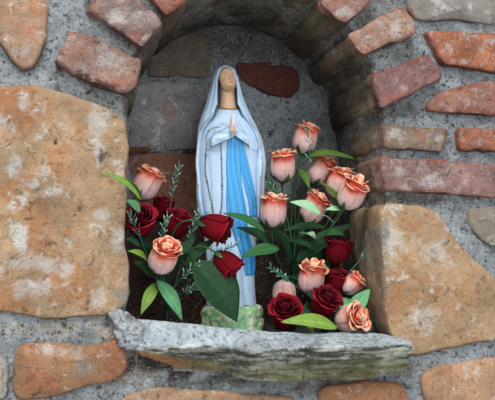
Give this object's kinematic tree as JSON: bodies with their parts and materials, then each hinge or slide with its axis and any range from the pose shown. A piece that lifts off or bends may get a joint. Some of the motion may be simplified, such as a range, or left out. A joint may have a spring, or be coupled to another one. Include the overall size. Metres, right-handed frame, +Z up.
{
  "type": "wayside shrine",
  "caption": "Free-standing stone and brick wayside shrine with an arched niche holding a cast praying figure and bunches of artificial roses.",
  "frame": {"origin": "middle of the pier's foot, on the ground", "axes": "+Z up, -Y the way the niche faces, +X to the right of someone facing the niche"},
  "size_m": [1.2, 0.62, 1.9536],
  "materials": {
    "rubble_masonry": "rough rubble in grey cement mortar",
    "brick": "rough unglazed fired clay",
    "mortar": "coarse cement mortar",
    "tan_stone": "rough, weathered",
    "grey_stone": "rough split face",
    "green_paint": "matte paint on cast stone",
    "white_paint": "satin paint on cast stone",
    "skin_paint": "satin paint on cast stone",
    "blue_paint": "satin paint on cast stone",
    "bead_paint": "satin paint",
    "stem_plastic": "moulded, over wire",
    "leaf_cloth": "printed cloth",
    "peach_cloth": "dyed cloth",
    "red_cloth": "dyed cloth"
  },
  "bodies": {
    "root": {"plinth_wall": "rubble_masonry", "left_wall": "rubble_masonry", "right_wall": "rubble_masonry", "rear_wall": "rubble_masonry", "head_wall": "rubble_masonry", "gable_wall": "rubble_masonry", "arch_bricks": "brick", "arch_mortar": "mortar", "left_jamb_stone": "tan_stone", "right_jamb_stone": "tan_stone", "right_jamb_bricks": "brick", "sill_slab": "grey_stone", "roof_slab_left_front": "grey_stone", "roof_slab_left_rear": "grey_stone", "roof_slab_right_front": "grey_stone", "roof_slab_right_rear": "grey_stone", "ridge_stone_front": "grey_stone", "ridge_stone_rear": "grey_stone", "figure_base": "green_paint", "figure_gown": "white_paint", "figure_head": "skin_paint", "figure_cloak": "white_paint", "figure_sleeves": "white_paint", "figure_hands": "skin_paint", "figure_sash": "blue_paint", "figure_rosary": "bead_paint", "left_bunch_stems": "stem_plastic", "left_bunch_leaves": "leaf_cloth", "left_bunch_peach_roses": "peach_cloth", "left_bunch_red_roses": "red_cloth", "tall_bunch_stems": "stem_plastic", "tall_bunch_leaves": "leaf_cloth", "tall_bunch_peach_roses": "peach_cloth", "low_bunch_stems": "stem_plastic", "low_bunch_leaves": "leaf_cloth", "low_bunch_peach_roses": "peach_cloth", "low_bunch_red_roses": "red_cloth"}
  },
  "joints": []
}
